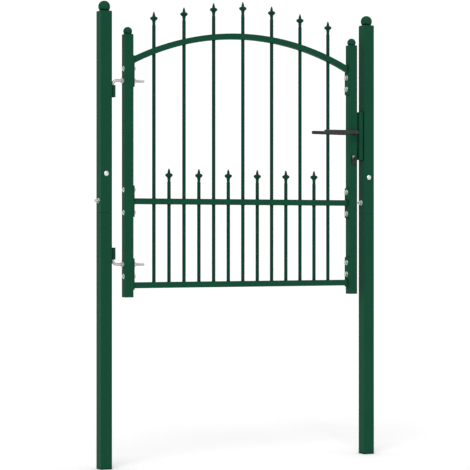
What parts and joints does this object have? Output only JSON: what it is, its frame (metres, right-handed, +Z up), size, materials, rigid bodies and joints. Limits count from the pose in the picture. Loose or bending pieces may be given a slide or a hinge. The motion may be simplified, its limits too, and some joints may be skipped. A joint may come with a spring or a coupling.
{
  "type": "garden gate",
  "caption": "Green steel garden gate: one leaf with an arched top rail and upright bars tipped with turned spears, on bent-rod hinges between two square posts, with a lever lock.",
  "frame": {"origin": "foot of the hinge post, on its outer face, half way through the gate's depth", "axes": "+X across the gate from the hinge post to the latch post, +Y from the front to the back, +Z up the posts"},
  "size_m": [1.0685, 0.104, 1.577],
  "materials": {
    "green_paint": "dark green powder coat, satin",
    "zinc_plate": "bright zinc plate",
    "nickel_plate": "satin nickel",
    "black_lever": "black, satin"
  },
  "bodies": {
    "posts": {"hinge_post_lower_tube": "green_paint", "hinge_post_upper_tube": "green_paint", "hinge_post_sleeve": "zinc_plate", "hinge_post_cap": "green_paint", "hinge_post_bolts": "zinc_plate", "lock_post_lower_tube": "green_paint", "lock_post_upper_tube": "green_paint", "lock_post_sleeve": "zinc_plate", "lock_post_cap": "green_paint", "lock_post_bolts": "zinc_plate", "upper_hinge_barrel": "green_paint", "lower_hinge_barrel": "green_paint", "keeper": "green_paint"},
    "leaf": {"hinge_stile": "green_paint", "lock_stile": "green_paint", "hinge_stile_cap": "green_paint", "lock_stile_cap": "green_paint", "hinge_side_top_plate": "green_paint", "hinge_side_middle_plate": "green_paint", "hinge_side_bottom_plate": "green_paint", "lock_side_top_plate": "green_paint", "lock_side_middle_plate": "green_paint", "lock_side_bottom_plate": "green_paint", "arch_rail": "green_paint", "middle_rail": "green_paint", "bottom_rail": "green_paint", "long_bar_1": "green_paint", "long_bar_2": "green_paint", "long_bar_3": "green_paint", "long_bar_4": "green_paint", "long_bar_5": "green_paint", "long_bar_6": "green_paint", "long_bar_7": "green_paint", "short_bar_1": "green_paint", "short_bar_2": "green_paint", "short_bar_3": "green_paint", "short_bar_4": "green_paint", "short_bar_5": "green_paint", "short_bar_6": "green_paint", "hinge_stile_bolts": "zinc_plate", "lock_stile_bolts": "zinc_plate", "upper_hinge_bolt": "zinc_plate", "lower_hinge_bolt": "zinc_plate", "upper_hinge_nuts": "zinc_plate", "lower_hinge_nuts": "zinc_plate", "lock_case": "zinc_plate", "lock_cylinder": "nickel_plate"},
    "handle": {"front_lever": "black_lever", "rear_lever": "black_lever", "spindle": "zinc_plate"}
  },
  "joints": [
    {"name": "leaf_swing", "type": "hinge", "parent": "posts", "child": "leaf", "pos_m": [0.05, 0, 0.678], "axis": [0, 0, 1], "range_deg": [-90, 90]},
    {"name": "lever_turn", "type": "hinge", "parent": "leaf", "child": "handle", "pos_m": [0.969, 0, 1.138], "axis": [0, -1, 0], "range_deg": [0, 40], "stiffness_Nm_per_rad": 1.2, "springref_deg": -28.65}
  ]
}
